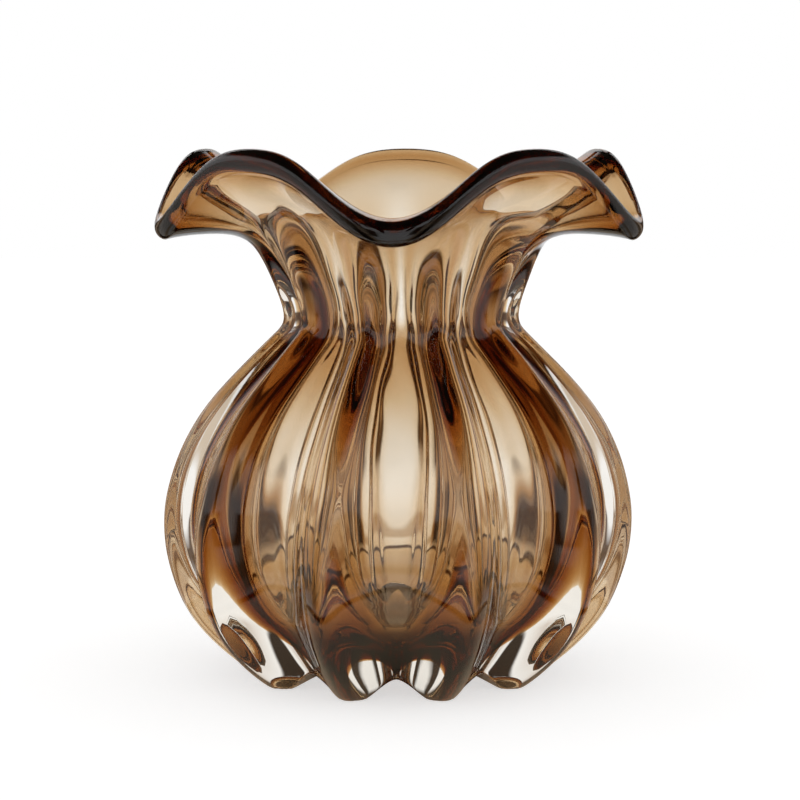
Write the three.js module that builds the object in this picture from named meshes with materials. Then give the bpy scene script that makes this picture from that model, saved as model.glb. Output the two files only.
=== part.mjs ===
// Ruffled glass vase: a clear ribbed casing fused over a brown lining. Millimetres, +Z up, front towards -Y.
import * as THREE from "three";
import { mergeVertices } from "three/addons/utils/BufferGeometryUtils.js";

// Overall
const HEIGHT = 180;
const FUSE_GAP = 0.3;

// Lip: thickness of the sheet, clear glass in it and its mean radius, then the rise, reach, number and late start of its
// waves, how far they crowd to the front and back, and how much broader their crests are than their dips
const LIP_THICKNESS = 8.2;
const LIP_CLEAR = 1;
const LIP_RADIUS = 76.8;
const RUFFLE_RISE = 11;
const RUFFLE_REACH = 4.4;
const RUFFLE_WAVES = 5;
const RUFFLE_LAG = 2.3;
const RUFFLE_STRETCH = THREE.MathUtils.degToRad(4);
const RUFFLE_FLATTEN = 0.36;

// Ribs: number, and how many times deeper the fuse line ripples behind them than the cavity does
const RIB_COUNT = 10;
const FUSE_RIPPLE = 2.6;

// Mesh fineness: steps round each rib, steps between wall points outside and inside, steps round the lip's edge
const STEPS_PER_RIB = 8;
const OUTSIDE_STEPS = 2;
const INSIDE_STEPS = 1;
const LIP_STEPS = 3;

// Wall points from the middle of the underside up to the lip. Outside, each holds the radius and height of the ribs'
// ridges, the depth of the flutes between them and how narrow the ridges are. Inside, it holds how far in from the ridge
// and how far above it the cavity's face is, the depth of that face's ripple and the thickness of the brown glass on it.
const KICK = { r: 0, z: 5.2, flute: 0, crest: 1, inset: 0, lift: 14.6, ripple: 0, brown: 3.6 };
const ARCH = { r: 19, z: 4.8, flute: 0.4, crest: 1, inset: 2.4, lift: 15.2, ripple: 0, brown: 3.6 };
const INSTEP = { r: 34, z: 2.4, flute: 4, crest: 0.8, inset: 5, lift: 18.8, ripple: 0.3, brown: 3.8 };
const SOLE = { r: 44.3, z: -1, flute: 8.5, crest: 0.8, inset: 5.5, lift: 24.8, ripple: 0.8, brown: 4.2 };
const TOE = { r: 50.5, z: -1, flute: 9.5, crest: 0.8, inset: 4, lift: 29.2, ripple: 1.2, brown: 4.4 };
const HEEL = { r: 66.8, z: 12.8, flute: 14, crest: 1.2, inset: 14.3, lift: 21.7, ripple: 1.5, brown: 4.4 };
const HIP = { r: 76.3, z: 28.4, flute: 12, crest: 1.7, inset: 19.3, lift: 14.6, ripple: 1.8, brown: 4 };
const BELLY = { r: 81.1, z: 50.2, flute: 10.5, crest: 2.2, inset: 21.6, lift: 5.8, ripple: 1.5, brown: 3.1 };
const CHEST = { r: 77, z: 72.6, flute: 9.5, crest: 2.4, inset: 19.5, lift: 1.4, ripple: 1.6, brown: 3.4 };
const SHOULDER = { r: 66, z: 93.3, flute: 8.5, crest: 2.8, inset: 18, lift: -1.3, ripple: 2, brown: 5.2 };
const NAPE = { r: 45.6, z: 114.6, flute: 6.5, crest: 2.2, inset: 14.1, lift: -4.1, ripple: 1, brown: 6 };
const NECK = { r: 39.8, z: 121.4, flute: 6.5, crest: 1, inset: 10.8, lift: -0.9, ripple: 2.6, brown: 4.9 };
const THROAT = { r: 43.4, z: 133.5, flute: 6, crest: 1, inset: 12.1, lift: 1, ripple: 2.2, brown: 4.2 };
const FLARE = { r: 51.4, z: 150, flute: 3.5, crest: 1, inset: 10.4, lift: 4, ripple: 1.2, brown: 3.8 };
const BRIM = { r: 63.4, z: 156.8, flute: 1, crest: 1, inset: 4.9, lift: 7.2, ripple: 0.2, brown: 2.8 };
const LIP = { r: LIP_RADIUS, z: HEIGHT - RUFFLE_RISE - LIP_THICKNESS, flute: 0, crest: 1, ripple: 0 };
const WALL = [
  KICK, ARCH, INSTEP, SOLE, TOE, HEEL, HIP, BELLY, CHEST, SHOULDER, NAPE, NECK, THROAT, FLARE, BRIM, LIP,
];

// Colours of the two glasses
const CLEAR_GLASS = new THREE.MeshStandardMaterial({
  color: 0xe9e6e0, roughness: 0.05, metalness: 0, transparent: true, opacity: 0.35,
});
const BROWN_GLASS = new THREE.MeshStandardMaterial({
  color: 0x7a4a22, roughness: 0.05, metalness: 0, transparent: true, opacity: 0.8,
});

const SPANS = WALL.length - 1;
const TURNS = RIB_COUNT * STEPS_PER_RIB;

// A smooth curve through one pair of values at each wall point.
function curveThrough(pairs) {
  return new THREE.SplineCurve(pairs.map(([a, b]) => new THREE.Vector2(a, b)));
}

// A value that runs smoothly from wall point to wall point.
function alongWall(valueOf) {
  const curve = curveThrough(WALL.map((p) => [valueOf(p), 0]));
  return (t) => Math.max(curve.getPoint(t).x, 0);
}

// The way out of the glass at a point of a curve, square to it.
function outward(curve, t) {
  const along = curve.getTangent(t);
  return new THREE.Vector2(along.y, -along.x);
}

const ridge = curveThrough(WALL.map((p) => [p.r, p.z]));

// The point of the lip's end that lies a depth under its outer face.
function inLip(depth) {
  return ridge.getPoint(1).addScaledVector(outward(ridge, 1), -depth);
}

// The cavity's face, which ends on the lip's inner face.
function cavityCurve() {
  const pairs = WALL.slice(0, -1).map((p) => [p.r - p.inset, p.z + p.lift]);
  return curveThrough([...pairs, inLip(LIP_THICKNESS).toArray()]);
}

const cavity = cavityCurve();

// The line where the two glasses are fused, a thickness of brown glass outside the cavity.
function fuseCurve() {
  const pairs = WALL.slice(0, -1).map((p, i) => {
    const at = cavity.getPoint(i / SPANS).addScaledVector(outward(cavity, i / SPANS), p.brown);
    return [Math.max(at.x, 0), at.y];
  });
  return curveThrough([...pairs, inLip(LIP_CLEAR).toArray()]);
}

const fuse = fuseCurve();
const fluteDepth = alongWall((p) => p.flute);
const rippleDepth = alongWall((p) => p.ripple);
const crestPower = alongWall((p) => p.crest);

// Share of the ruffle that each station takes: none up to the nape, all of it at the lip.
function ruffleShare(t) {
  const start = WALL.indexOf(NAPE) / SPANS;
  const rise = Math.max((t - start) / (1 - start), 0);
  return rise ** RUFFLE_LAG;
}

// One station of a layer's section: where it is and how the ribs and the ruffle move it.
function station(curve, normals, t, flute, shift) {
  const out = outward(normals, t);
  const at = curve.getPoint(t).addScaledVector(out, shift);
  return { r: t === 0 ? 0 : at.x, z: at.y, out, flute, crest: crestPower(t), ruffle: ruffleShare(t) };
}

// All stations of one face from the axis up to the lip.
function face(curve, normals, fluteAt, shift, steps) {
  const last = SPANS * steps;
  return Array.from({ length: last + 1 }, (_, i) => station(curve, normals, i / last, fluteAt(i / last), shift));
}

// The same stations from the lip down to the axis.
function downwards(stations) {
  return stations.map((s) => ({ ...s, runsDown: true })).reverse();
}

// The angle round the lip's edge, from its outer face, at which a depth is reached.
function edgeAngle(depth) {
  return Math.acos(1 - (2 * depth) / LIP_THICKNESS);
}

// A station on the rounded edge of the lip.
function onEdge(angle) {
  const out = outward(ridge, 1);
  const radius = LIP_THICKNESS / 2;
  const at = inLip(radius)
    .addScaledVector(out, radius * Math.cos(angle))
    .addScaledVector(ridge.getTangent(1), radius * Math.sin(angle));
  return { r: at.x, z: at.y, out, flute: 0, crest: 1, ruffle: 1 };
}

// The rounded edge of the lip between two angles, without its two ends.
function lipEdge(from, to) {
  return Array.from({ length: LIP_STEPS }, (_, i) => onEdge(from + ((to - from) * (i + 1)) / (LIP_STEPS + 1)));
}

// The fused face, moved out or in by a shift, up to the line where it comes out on the lip's edge.
function fusedFace(shift) {
  const rippleAt = (t) => rippleDepth(t) * FUSE_RIPPLE;
  return [...face(fuse, cavity, rippleAt, shift, INSIDE_STEPS), onEdge(edgeAngle(LIP_CLEAR - shift))];
}

// Triangles of the turned section. A face that runs down is split along the other diagonal, so that the two fused
// faces match triangle by triangle and keep their gap where the ruffle twists them.
function triangles(stations) {
  const count = stations.length;
  const index = [];
  for (let turn = 0; turn < TURNS; turn += 1) {
    for (let step = 0; step < count - 1; step += 1) {
      const a = turn * count + step;
      const b = a + count;
      const c = b + 1;
      const d = a + 1;
      index.push(...(stations[step].runsDown ? [a, b, c, a, c, d] : [a, b, d, b, c, d]));
    }
  }
  return index;
}

// Turns a section of stations into a solid, then lets the ribs, the ruffle and the flat feet shape it.
function shapedLathe(stations) {
  const lathe = new THREE.LatheGeometry(stations.map((s) => new THREE.Vector2(s.r, s.z)), TURNS);
  const place = lathe.getAttribute("position");
  for (let i = 0; i < place.count; i += 1) {
    const s = stations[i % stations.length];
    const angle = (Math.floor(i / stations.length) / TURNS) * 2 * Math.PI;
    const rib = ((1 - Math.cos(RIB_COUNT * angle)) / 2) ** s.crest;
    const hollow = s.flute * (1 - rib);
    const along = angle - RUFFLE_STRETCH * Math.sin(2 * angle);
    const swing = Math.cos(RUFFLE_WAVES * along);
    const wave = s.ruffle * (swing - RUFFLE_FLATTEN * (1 - swing ** 2));
    const r = s.r - s.out.x * hollow + RUFFLE_REACH * wave;
    const z = s.z - s.out.y * hollow - RUFFLE_RISE * wave;
    const reach = s.r === 0 ? 0 : r;
    place.setXYZ(i, reach * Math.sin(angle), Math.max(z, 0), reach * Math.cos(angle));
  }
  lathe.setIndex(triangles(stations));
  lathe.deleteAttribute("normal");
  lathe.deleteAttribute("uv");
  return mergeVertices(lathe.rotateX(Math.PI / 2));
}

// Clear outer layer: the ribbed face, the outer part of the lip's edge, and the fused face.
function clearCasing() {
  const outside = face(ridge, ridge, fluteDepth, 0, OUTSIDE_STEPS);
  const edge = lipEdge(0, edgeAngle(LIP_CLEAR - FUSE_GAP / 2));
  return shapedLathe([...outside, ...edge, ...downwards(fusedFace(FUSE_GAP / 2))]);
}

// Brown inner layer: the fused face, the rest of the lip's edge, and the cavity.
function brownLining() {
  const edge = lipEdge(edgeAngle(LIP_CLEAR + FUSE_GAP / 2), Math.PI);
  const inside = downwards(face(cavity, cavity, rippleDepth, 0, INSIDE_STEPS));
  return shapedLathe([...fusedFace(-FUSE_GAP / 2), ...edge, ...inside]);
}

// A named piece of the vase.
function piece(name, geometry, material) {
  const mesh = new THREE.Mesh(geometry, material);
  mesh.name = name;
  return mesh;
}

const vase = new THREE.Group();
vase.add(piece("clear_casing", clearCasing(), CLEAR_GLASS));
vase.add(piece("brown_lining", brownLining(), BROWN_GLASS));

// The ruffle reaches further to the front than to the back, so the pieces are set with their box over the origin.
const middle = new THREE.Box3().setFromObject(vase).getCenter(new THREE.Vector3());
vase.children.forEach((mesh) => mesh.geometry.translate(-middle.x, -middle.y, 0));

export default vase;
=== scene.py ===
import math

import bpy
import numpy as np
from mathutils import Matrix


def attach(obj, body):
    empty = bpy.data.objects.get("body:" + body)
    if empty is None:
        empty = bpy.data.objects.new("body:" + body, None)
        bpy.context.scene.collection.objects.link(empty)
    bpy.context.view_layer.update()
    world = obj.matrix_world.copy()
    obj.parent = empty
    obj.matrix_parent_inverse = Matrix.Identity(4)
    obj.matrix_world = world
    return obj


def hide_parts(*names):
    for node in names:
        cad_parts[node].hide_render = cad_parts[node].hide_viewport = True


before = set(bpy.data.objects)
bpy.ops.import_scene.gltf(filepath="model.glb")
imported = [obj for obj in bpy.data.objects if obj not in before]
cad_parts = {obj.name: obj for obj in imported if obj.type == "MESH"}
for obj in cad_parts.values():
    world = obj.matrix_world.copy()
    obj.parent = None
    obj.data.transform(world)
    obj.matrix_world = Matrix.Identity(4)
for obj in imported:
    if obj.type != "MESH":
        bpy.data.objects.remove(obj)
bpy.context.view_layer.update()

MM = 0.001

# Sizes of the vase, in millimetres

# Wall points from the middle of the underside up to the brim. Outside: radius and height of the ribs'
# ridges, depth of the flutes between them, and how narrow the ridges are. Inside: how far in from the ridge
# and how far above it the cavity's face is, depth of that face's ripple, and thickness of the brown glass.
WALL = {
    "kick": (0, 5.2, 0, 1, 0, 14.6, 0, 3.6),
    "arch": (19, 4.8, 0.4, 1, 2.4, 15.2, 0, 3.6),
    "instep": (34, 2.4, 4, 0.8, 5, 18.8, 0.3, 3.8),
    "sole": (44.3, -1, 8.5, 0.8, 5.5, 24.8, 0.8, 4.2),
    "toe": (50.5, -1, 9.5, 0.8, 4, 29.2, 1.2, 4.4),
    "heel": (66.8, 12.8, 14, 1.2, 14.3, 21.7, 1.5, 4.4),
    "hip": (76.3, 28.4, 12, 1.7, 19.3, 14.6, 1.8, 4),
    "belly": (81.1, 50.2, 10.5, 2.2, 21.6, 5.8, 1.5, 3.1),
    "chest": (77, 72.6, 9.5, 2.4, 19.5, 1.4, 1.6, 3.4),
    "shoulder": (66, 93.3, 8.5, 2.8, 18, -1.3, 2, 5.2),
    "nape": (45.6, 114.6, 6.5, 2.2, 14.1, -4.1, 1, 6),
    "neck": (39.8, 121.4, 6.5, 1, 10.8, -0.9, 2.6, 4.9),
    "throat": (43.4, 133.5, 6, 1, 12.1, 1, 2.2, 4.2),
    "flare": (51.4, 150, 3.5, 1, 10.4, 4, 1.2, 3.8),
    "brim": (63.4, 156.8, 1, 1, 4.9, 7.2, 0.2, 2.8),
}
RIB_COUNT = 10
# How many times as deep as the cavity's ripple the one between the two glasses is
FUSE_RIPPLE = 2.6

# The lip: a sheet with a rounded edge, brown but for a clear layer outside
HEIGHT = 179.5
LIP_RADIUS = 76.25
LIP_THICKNESS = 8.2
LIP_CLEAR = 1.0

# The ruffle: how far its waves rise and reach out, how late they grow on the way up from the nape, how much
# the waves in front and behind are widened, how much broader crests are than dips, and how far it is turned
RUFFLE_WAVES = 5
RUFFLE_RISE = 11
RUFFLE_REACH = 4.4
RUFFLE_LAG = 2.3
RUFFLE_STRETCH = math.radians(4)
RUFFLE_FLATTEN = 0.36
RUFFLE_TURN = math.radians(2)

# Heights, and how far the hand-made wall leans off its axis there, to the viewer's right
LEAN = ((0, -0.8), (25, -0.8), (60, -0.2), (108, 1.0), (140, 0.7), (180, 0))

# Faint waves that hand work leaves on the outside and on the cavity's face: how many, how deep in the body
# and at the neck, how far from the neck the depth falls off, how near the axis they fade, how long they are,
# and how often they go round the vase
HAND_WAVES = 12
HAND_DEPTHS = (0.02, 0.06)
HAND_NECK_SPREAD = 22
HAND_FADE_RADIUS = 30
HAND_LENGTHS = (12, 40)
HAND_TURNS = (2, 20)
OUTSIDE_SEED = 1
CAVITY_SEED = 2

# Skin of casing glass that keeps the lining's faces off the air
SKIN = 0.12

# Fineness of the meshes, and of the curves that they are picked from
TURNS = 360
STEPS_PER_SPAN = 10
LIP_STEPS = 24
SAMPLES_PER_SPAN = 60
LEAN_SAMPLES = 401
LEAN_MARGIN = 10
# Width of the running mean that evens out bends, and how far it reaches, both in samples
WALL_SOFTENING = (18, 54)
LEAN_SOFTENING = (24, 60)

SPANS = len(WALL)
ANGLES = np.linspace(-math.pi, math.pi, TURNS, endpoint=False)
# The lining's lowest point is on the vase's axis
AXIS_Y = min(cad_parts["brown_lining"].data.vertices, key=lambda v: v.co.z).co.y


# Curves of the wall

def bell(width, reach):
    """Weights of a running mean, which fall off to both sides."""
    weights = np.exp(-0.5 * (np.arange(-reach, reach + 1) / width) ** 2)
    return weights / weights.sum()


def softened(points):
    """Dense samples of a curve through the wall points, with its changes of bend evened out."""
    t = np.linspace(0, SPANS, SPANS * SAMPLES_PER_SPAN + 1)
    i = np.minimum(t.astype(int), SPANS - 1)
    u = (t - i)[:, None]
    before, start = points[np.maximum(i - 1, 0)], points[i]
    end, after = points[i + 1], points[np.minimum(i + 2, SPANS)]
    pull, push = (end - before) / 2, (after - start) / 2
    cubic = 2 * start - 2 * end + pull + push
    square = 3 * end - 3 * start - 2 * pull - push
    curve = cubic * u**3 + square * u**2 + pull * u + start
    width, reach = WALL_SOFTENING
    weights = bell(width, reach)
    head = 2 * curve[0] - curve[reach:0:-1]
    tail = 2 * curve[-1] - curve[-2:-reach - 2:-1]
    columns = np.vstack([head, curve, tail]).T
    return np.stack([np.convolve(column, weights, "valid") for column in columns], 1)


def outward(curve):
    """The way out of the glass along a sampled curve, square to it."""
    along = np.gradient(curve, axis=0)
    along /= np.hypot(along[:, 0], along[:, 1])[:, None]
    return np.stack([along[:, 1], -along[:, 0]], 1)


def leaning(z):
    """How far the wall stands aside at each height, with the bends of the lean evened out."""
    width, reach = LEAN_SOFTENING
    levels = np.linspace(-LEAN_MARGIN, HEIGHT + LEAN_MARGIN, LEAN_SAMPLES)
    aside = np.pad(np.interp(levels, *zip(*LEAN)), reach, mode="edge")
    return np.interp(z, levels, np.convolve(aside, bell(width, reach), "valid"))


lip_height = HEIGHT - RUFFLE_RISE - LIP_THICKNESS
lip_point = (LIP_RADIUS, lip_height, 0, 1, 0, 0, 0, LIP_THICKNESS - LIP_CLEAR)
wall_points = np.array([*WALL.values(), lip_point], float)
radii, heights, flutes, crests, insets, lifts, ripples, browns = wall_points.T
ridge = softened(np.stack([radii, heights], 1))
ridge_out = outward(ridge)
lip_out = ridge_out[-1]
lip_along = np.array([-lip_out[1], lip_out[0]])
cavity_points = np.stack([radii - insets, heights + lifts], 1)
cavity_points[-1] = ridge[-1] - lip_out * LIP_THICKNESS
cavity = softened(cavity_points)
cavity_out = outward(cavity)
flute, crest, ripple, brown = softened(np.stack([flutes, crests, ripples, browns], 1)).clip(0).T
fuse = cavity + cavity_out * brown[:, None]
ruffle_start = list(WALL).index("nape") / SPANS
way_up = np.linspace(0, 1, len(ridge))
ruffle = ((way_up - ruffle_start) / (1 - ruffle_start)).clip(0) ** RUFFLE_LAG


# Rings of points round the vase

def hand_work(seed, r, z):
    """Small unevenness of one face, the same each time for one seed."""
    chance = np.random.default_rng(seed)
    total = np.zeros_like(r)
    for _ in range(HAND_WAVES):
        turns = chance.integers(*HAND_TURNS)
        length = chance.uniform(*HAND_LENGTHS)
        total += np.cos(turns * ANGLES + 2 * math.pi * (z / length + chance.uniform()))
    body_depth, neck_depth = HAND_DEPTHS
    from_neck = (z - WALL["neck"][1]) / HAND_NECK_SPREAD
    depth = body_depth + (neck_depth - body_depth) * np.exp(-(from_neck**2))
    return total * depth * math.sqrt(2 / HAND_WAVES) * (r / HAND_FADE_RADIUS).clip(0, 1)


def rings(at, out, depth, power, wave_share, seed=None):
    """Radius and height round each station, with the ribs, the ruffle and the flat feet worked in."""
    rib = ((1 - np.cos(RIB_COUNT * ANGLES)) / 2)[None] ** power[:, None]
    hollow = depth[:, None] * (1 - rib)
    turned = ANGLES + RUFFLE_TURN
    swing = np.cos(RUFFLE_WAVES * (turned - RUFFLE_STRETCH * np.sin(2 * turned)))
    wave = wave_share[:, None] * (swing - RUFFLE_FLATTEN * (1 - swing**2))[None]
    r = at[:, 0:1] - out[:, 0:1] * hollow + RUFFLE_REACH * wave
    z = at[:, 1:2] - out[:, 1:2] * hollow - RUFFLE_RISE * wave
    if seed is not None:
        uneven = hand_work(seed, r, z)
        r, z = r + out[:, 0:1] * uneven, z + out[:, 1:2] * uneven
    return list(zip(r, z.clip(0)))


def face(curve, out, depth, shift=0.0, seed=None):
    """Rings of one face of the glass from beside the axis up to the lip."""
    pick = np.arange(0, len(ridge), SAMPLES_PER_SPAN // STEPS_PER_SPAN)[1:]
    return rings(curve[pick] + out[pick] * shift, out[pick], depth[pick], crest[pick], ruffle[pick], seed)


def lip_edge(start, end, skin=0.0):
    """Rings round the lip's rounded edge between two angles from its outer face, without the two ends."""
    half = LIP_THICKNESS / 2
    angles = np.linspace(start, end, LIP_STEPS + 2)[1:-1, None]
    middle = ridge[-1] - lip_out * half
    at = middle + (half - skin) * (np.cos(angles) * lip_out + np.sin(angles) * lip_along)
    ones = np.ones(LIP_STEPS)
    return rings(at, np.repeat(lip_out[None], LIP_STEPS, 0), 0 * ones, ones, ones)


# The two glasses

def turned_glass(name, start_z, faces, end_z):
    """A closed solid from a point on the axis, through the rings, to another point on the axis."""
    points = [[[0, 0, start_z]]]
    for r, z in faces:
        points.append(np.stack([r * np.sin(ANGLES), -r * np.cos(ANGLES), z], 1))
    points.append([[0, 0, end_z]])
    points = np.vstack(points)
    points[:, 0] += leaning(points[:, 2])
    points *= MM
    points[:, 1] += AXIS_Y
    here = np.arange(TURNS)
    beside = (here + 1) % TURNS
    first = 1 + np.arange(len(faces)) * TURNS
    last = len(points) - 1
    quads = [
        np.stack([low + here, low + beside, high + beside, high + here], 1)
        for low, high in zip(first[:-1], first[1:])
    ]
    fans = [
        np.stack([first[0] + beside, first[0] + here, 0 * here], 1),
        np.stack([first[-1] + here, first[-1] + beside, 0 * here + last], 1),
    ]
    mesh = bpy.data.meshes.new(name)
    mesh.from_pydata(points.tolist(), [], np.vstack(quads).tolist() + np.vstack(fans).tolist())
    mesh.polygons.foreach_set("use_smooth", np.ones(len(mesh.polygons), bool))
    mesh.update()
    solid = bpy.data.objects.new(name, mesh)
    bpy.context.scene.collection.objects.link(solid)
    return solid


def casing():
    """The whole glass, inside and out, which the lining is set into."""
    outside = face(ridge, ridge_out, flute, seed=OUTSIDE_SEED)
    inside = face(cavity, cavity_out, ripple, seed=CAVITY_SEED)
    faces = outside + lip_edge(0, math.pi) + inside[::-1]
    return turned_glass("clear_glass_casing", ridge[0, 1], faces, cavity[0, 1])


def lining():
    """The brown glass, from its join with the clear to just under the cavity's face."""
    join = face(fuse, cavity_out, ripple * FUSE_RIPPLE)
    lip_join = math.acos(1 - 2 * LIP_CLEAR / LIP_THICKNESS)
    inside = face(cavity, cavity_out, ripple, SKIN, CAVITY_SEED)
    faces = join + lip_edge(lip_join, math.pi, SKIN) + inside[::-1]
    return turned_glass("brown_glass_lining", fuse[0, 1], faces, cavity[0, 1] - SKIN)


# Nodes of the materials and the studio

# Places of a Mix node's sockets for vectors
MIX_FIRST, MIX_SECOND, MIX_RESULT = 4, 5, 1


def linear(hex_colour):
    """Linear red, green and blue of an sRGB hex colour."""
    parts = [int(hex_colour[i:i + 2], 16) / 255 for i in (1, 3, 5)]
    return [c / 12.92 if c <= 0.04045 else ((c + 0.055) / 1.055) ** 2.4 for c in parts]


def add(tree, kind, inputs=None, **settings):
    """Adds a node with its settings, its values and its links."""
    node = tree.nodes.new(kind)
    for name, value in settings.items():
        setattr(node, name, value)
    for name, value in (inputs or {}).items():
        if isinstance(value, bpy.types.NodeSocket):
            tree.links.new(value, node.inputs[name])
        else:
            node.inputs[name].default_value = value
    return node


def new_material(name):
    """An empty material and its tree of nodes."""
    material = bpy.data.materials.new(name)
    material.use_nodes = True
    material.node_tree.nodes.clear()
    return material, material.node_tree


# Glass

# Clear soda-lime glass, free-blown and fire-polished: mirror smooth, colourless in thin places and faintly
# warm in deep ones, so that the ribs and feet catch the white surround. Each glass has the colour that is
# seen through a depth of it, and the clear one the length and depth of the flame's waves, in millimetres.
CLEAR_IOR = 1.5
CLEAR_SEEN = "#FDFCFA"
CLEAR_DEPTH = 20
POLISH_LENGTH = 7
POLISH_DEPTH = 0.004
# Brown soda-lime glass, gathered under the clear. Both bend light alike, so it enters one from the other
# unbent and the join shows only as colour: cream in a thin wall, amber in a thick one and near black along
# the lip's edge.
LINING_IOR = 1.0
BROWN_SEEN = "#D5B68E"
BROWN_DEPTH = 4.6
# Keeps every part of the colour of an absorption above zero
DENSITY_MARGIN = 1.02


def blown_glass(name, ior, seen_through, depth):
    """Mirror-smooth glass that shows one colour through one depth, and its surface."""
    material, tree = new_material(name)
    loss = -np.log(linear(seen_through)) / (depth * MM)
    density = float(loss.max()) * DENSITY_MARGIN
    surface = add(tree, "ShaderNodeBsdfPrincipled", {
        "Base Color": (1, 1, 1, 1), "Roughness": 0.0, "IOR": ior, "Transmission Weight": 1.0,
    })
    body = add(tree, "ShaderNodeVolumeAbsorption", {
        "Color": (*(1 - loss / density), 1), "Density": density,
    })
    add(tree, "ShaderNodeOutputMaterial", {
        "Surface": surface.outputs["BSDF"], "Volume": body.outputs["Volume"],
    })
    return material, surface


def clear_glass():
    """The casing's glass, with the faint waves that the flame leaves on its skin."""
    material, surface = blown_glass("clear_soda_lime_fire_polished", CLEAR_IOR, CLEAR_SEEN, CLEAR_DEPTH)
    tree = material.node_tree
    place = add(tree, "ShaderNodeTexCoord")
    waves = add(tree, "ShaderNodeTexNoise", {
        "Vector": place.outputs["Object"], "Scale": 1 / (POLISH_LENGTH * MM), "Detail": 1.0,
    })
    relief = add(tree, "ShaderNodeBump", {
        "Height": waves.outputs["Fac"], "Strength": 1.0, "Distance": POLISH_DEPTH * MM,
    })
    tree.links.new(relief.outputs["Normal"], surface.inputs["Normal"])
    return material


def brown_glass():
    """The lining's glass."""
    return blown_glass("brown_soda_lime_gathered", LINING_IOR, BROWN_SEEN, BROWN_DEPTH)[0]


# Studio: a white backdrop and side panels with dark cards between them, alike in front and behind

# Colours of the studio as glass sees it, from light to dark. On the floor, all but white are painted shade.
WHITE, CREAM, PALE, LINEN = "#FFFFFF", "#E8DCC8", "#DED5CE", "#D4C4B0"
OAT, STRAW, SAND, TAN = "#C8B498", "#C8AC8C", "#C0A890", "#A08A72"
CARD_AND_SHADE, SMOKE, SOOT, DARK = "#5A4636", "#403830", "#383028", "#2A1F18"
# What stands at each angle from the front-to-back line, in degrees
PANELS = (
    (0, WHITE), (16, WHITE), (23, CARD_AND_SHADE), (29, CARD_AND_SHADE), (33, SAND), (40, SAND), (45, CARD_AND_SHADE), (56, TAN),
    (66, PALE), (90, PALE),
)
# The same for what stands higher
HIGH_PANELS = (
    (0, PALE), (9, WHITE), (10, DARK), (13, DARK), (14, WHITE), (29, WHITE), (30, DARK), (34, DARK),
    (36, WHITE), (90, WHITE),
)
# Heights of the look, as the sine of its angle above the floor: where the high panels take over, and how
# much of all panels is left
HIGH_STARTS = (0.14, 0.18)
PANEL_HEIGHTS = ((-1, WHITE), (0.5, WHITE), (0.6, SMOKE), (1, SOOT))
# The floor as glass sees it, all painted shade but for its white: by the same angles, then by the distance
# from the vase, in metres. The dark steps under the vase are a painted shadow, and the thin dark ring and
# the linen band round it are painted shade.
FLOOR_SHADE_BY_ANGLE = (
    (0, WHITE), (22, WHITE), (33, STRAW), (37, TAN), (41, CARD_AND_SHADE), (47, DARK), (54, DARK), (62, PALE),
    (90, PALE),
)
FLOOR_SHADE_BY_DISTANCE = (
    (0, DARK), (0.03, CARD_AND_SHADE), (0.055, OAT), (0.098, CREAM), (0.1, CARD_AND_SHADE), (0.107, CARD_AND_SHADE), (0.109, WHITE),
    (0.13, WHITE), (0.14, LINEN), (0.17, LINEN), (0.19, WHITE), (1, WHITE),
)
# Distances, in metres, over which the floor's painted shade by angle begins beside the feet, and over
# which the painted shade near the vase gives way to the backdrop's panels, painted on the floor too
FLOOR_SIDE_SHADE_START = (0.1, 0.12)
FLOOR_NEAR_SHADE_END = (0.3, 0.4)
# Matt paper, rolled out in a sheet some metres wide: even and without gloss, so that only the vase's shadow
# shows on it. A glow brings it to white for the camera.
FLOOR_SIZE = 6
FLOOR_COLOUR = "#E6E6E6"
FLOOR_GLOW = 0.6
# The studio's light on matt surfaces
FILL_LIGHT = 0.5


def stepped(tree, value, steps):
    """A colour that runs through given steps as a value goes from the first to the last."""
    low, high = steps[0][0], steps[-1][0]
    scaled = add(tree, "ShaderNodeMapRange", {"Value": value, "From Min": low, "From Max": high})
    ramp = add(tree, "ShaderNodeValToRGB", {"Fac": scaled.outputs["Result"]})
    stops = ramp.color_ramp.elements
    while len(stops) < len(steps):
        stops.new(0.5)
    for stop, (place, colour) in zip(stops, steps):
        stop.position = (place - low) / (high - low)
        stop.color = (*linear(colour), 1)
    return ramp.outputs["Color"]


def round_about(tree, way, panels):
    """Colour of the panels in the level direction of a vector."""
    parts = add(tree, "ShaderNodeSeparateXYZ", {0: way})
    across = add(tree, "ShaderNodeMath", {0: parts.outputs["X"]}, operation="ABSOLUTE")
    along = add(tree, "ShaderNodeMath", {0: parts.outputs["Y"]}, operation="ABSOLUTE")
    angle = add(tree, "ShaderNodeMath", {0: across.outputs[0], 1: along.outputs[0]}, operation="ARCTAN2")
    degrees = add(tree, "ShaderNodeMath", {0: angle.outputs[0]}, operation="DEGREES")
    return stepped(tree, degrees.outputs[0], panels)


def give_way(tree, value, ends, first, second):
    """One colour that gives way to another as a value goes from end to end."""
    start, stop = ends
    share = add(tree, "ShaderNodeMapRange", {"Value": value, "From Min": start, "From Max": stop})
    mixed = add(tree, "ShaderNodeMix", {
        "Factor": share.outputs["Result"], MIX_FIRST: first, MIX_SECOND: second,
    }, data_type="VECTOR")
    return mixed.outputs[MIX_RESULT]


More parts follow.
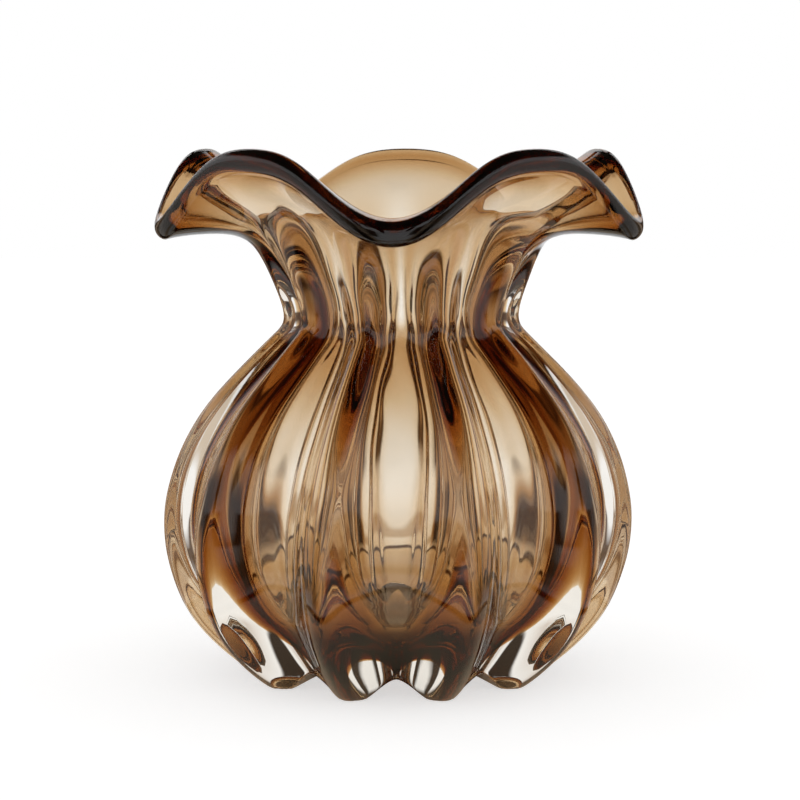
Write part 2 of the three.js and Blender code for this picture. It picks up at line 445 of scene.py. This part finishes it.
def studio():
    """White for the camera, an even light for matt surfaces, and the panels and cards for glass."""
    world = bpy.data.worlds.new("studio")
    world.use_nodes = True
    tree = world.node_tree
    tree.nodes.clear()
    look = add(tree, "ShaderNodeTexCoord").outputs["Generated"]
    rise = add(tree, "ShaderNodeSeparateXYZ", {0: look}).outputs["Z"]
    low_panels = round_about(tree, look, PANELS)
    high_panels = round_about(tree, look, HIGH_PANELS)
    panels = give_way(tree, rise, HIGH_STARTS, low_panels, high_panels)
    share = stepped(tree, rise, PANEL_HEIGHTS)
    seen = add(tree, "ShaderNodeVectorMath", {0: panels, 1: share}, operation="MULTIPLY")
    rays = add(tree, "ShaderNodeLightPath").outputs
    plain = add(tree, "ShaderNodeMath", {
        0: rays["Is Diffuse Ray"], 1: FILL_LIGHT, 2: rays["Is Camera Ray"],
    }, operation="MULTIPLY_ADD")
    light = add(tree, "ShaderNodeVectorMath", {0: seen.outputs[0], 1: plain.outputs[0]}, operation="MAXIMUM")
    sky = add(tree, "ShaderNodeBackground", {"Color": light.outputs[0], "Strength": 1.0})
    add(tree, "ShaderNodeOutputWorld", {"Surface": sky.outputs[0]})
    return world


def matt_paper():
    """White, with the vase's shadow, for the camera; painted shade under and beside the vase for glass."""
    material, tree = new_material("matt_paper_sweep")
    place = add(tree, "ShaderNodeNewGeometry").outputs["Position"]
    far = add(tree, "ShaderNodeVectorMath", {0: place}, operation="LENGTH").outputs["Value"]
    # Painted shade by the angle round the vase, which begins beside the feet
    side_shade = round_about(tree, place, FLOOR_SHADE_BY_ANGLE)
    # Farther off, the backdrop's panels and cards, painted on the floor as their light and shade
    backdrop = round_about(tree, place, PANELS)
    beside = give_way(tree, far, FLOOR_SIDE_SHADE_START, (1, 1, 1), side_shade)
    # Painted shadow under the vase, and painted dark rings round it, by the distance from the vase
    steps = stepped(tree, far, FLOOR_SHADE_BY_DISTANCE)
    near = add(tree, "ShaderNodeVectorMath", {0: beside, 1: steps}, operation="MULTIPLY")
    painted_shade = give_way(tree, far, FLOOR_NEAR_SHADE_END, near.outputs[0], backdrop)
    rays = add(tree, "ShaderNodeLightPath").outputs
    by_glass = add(tree, "ShaderNodeMath", {
        0: rays["Is Glossy Ray"], 1: rays["Is Transmission Ray"],
    }, operation="MAXIMUM")
    glow = add(tree, "ShaderNodeMath", {0: rays["Is Camera Ray"], 1: FLOOR_GLOW}, operation="MULTIPLY")
    paper = add(tree, "ShaderNodeBsdfDiffuse", {"Color": (*linear(FLOOR_COLOUR), 1)})
    shine = add(tree, "ShaderNodeEmission", {"Strength": glow.outputs[0]})
    plain = add(tree, "ShaderNodeAddShader", {0: paper.outputs[0], 1: shine.outputs[0]})
    in_glass = add(tree, "ShaderNodeEmission", {"Color": painted_shade, "Strength": 1.0})
    seen = add(tree, "ShaderNodeMixShader", {
        0: by_glass.outputs[0], 1: plain.outputs[0], 2: in_glass.outputs[0],
    })
    add(tree, "ShaderNodeOutputMaterial", {"Surface": seen.outputs[0]})
    return material


# Camera: the photograph's height, tilt and lens, level with the lip and looking slightly down

# Distances in millimetres
FRAME_PIXELS = 800
FOCUS_PIXELS = 2346
SENSOR_WIDTH = 36
CAMERA_AWAY = 800
CAMERA_ASIDE = 0.417
CAMERA_UP = 180
CAMERA_TILT = math.radians(6.16)
CAMERA_NEAREST = 10


def photo_camera():
    """A camera that sees the vase as the photograph does."""
    lens = bpy.data.cameras.new("camera")
    lens.sensor_width = SENSOR_WIDTH
    lens.lens = FOCUS_PIXELS / FRAME_PIXELS * SENSOR_WIDTH
    lens.clip_start = CAMERA_NEAREST * MM
    camera = bpy.data.objects.new("camera", lens)
    camera.location = (CAMERA_ASIDE * MM, AXIS_Y - CAMERA_AWAY * MM, CAMERA_UP * MM)
    camera.rotation_euler = (math.pi / 2 - CAMERA_TILT, 0, 0)
    bpy.context.scene.collection.objects.link(camera)
    return camera


# The vase in its studio

# Light crosses many faces of the glass before it leaves it
GLASS_BOUNCES = 40
GLOSSY_BOUNCES = 16

clear_casing = casing()
brown_lining = lining()
clear_casing.data.materials.append(clear_glass())
brown_lining.data.materials.append(brown_glass())

for piece, node, slot in (
    (clear_casing, "clear_casing", "clear_glass"),
    (brown_lining, "brown_lining", "brown_glass"),
):
    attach(piece, "root")
    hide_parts(node)

bpy.ops.mesh.primitive_plane_add(size=FLOOR_SIZE)
floor = bpy.context.object
floor.name = "pale_floor"
floor.data.materials.append(matt_paper())

scene = bpy.context.scene
scene.world = studio()
scene.camera = photo_camera()
scene.view_settings.view_transform = "Standard"
scene.cycles.max_bounces = GLASS_BOUNCES
scene.cycles.transmission_bounces = GLASS_BOUNCES
scene.cycles.transparent_max_bounces = GLASS_BOUNCES
scene.cycles.glossy_bounces = GLOSSY_BOUNCES
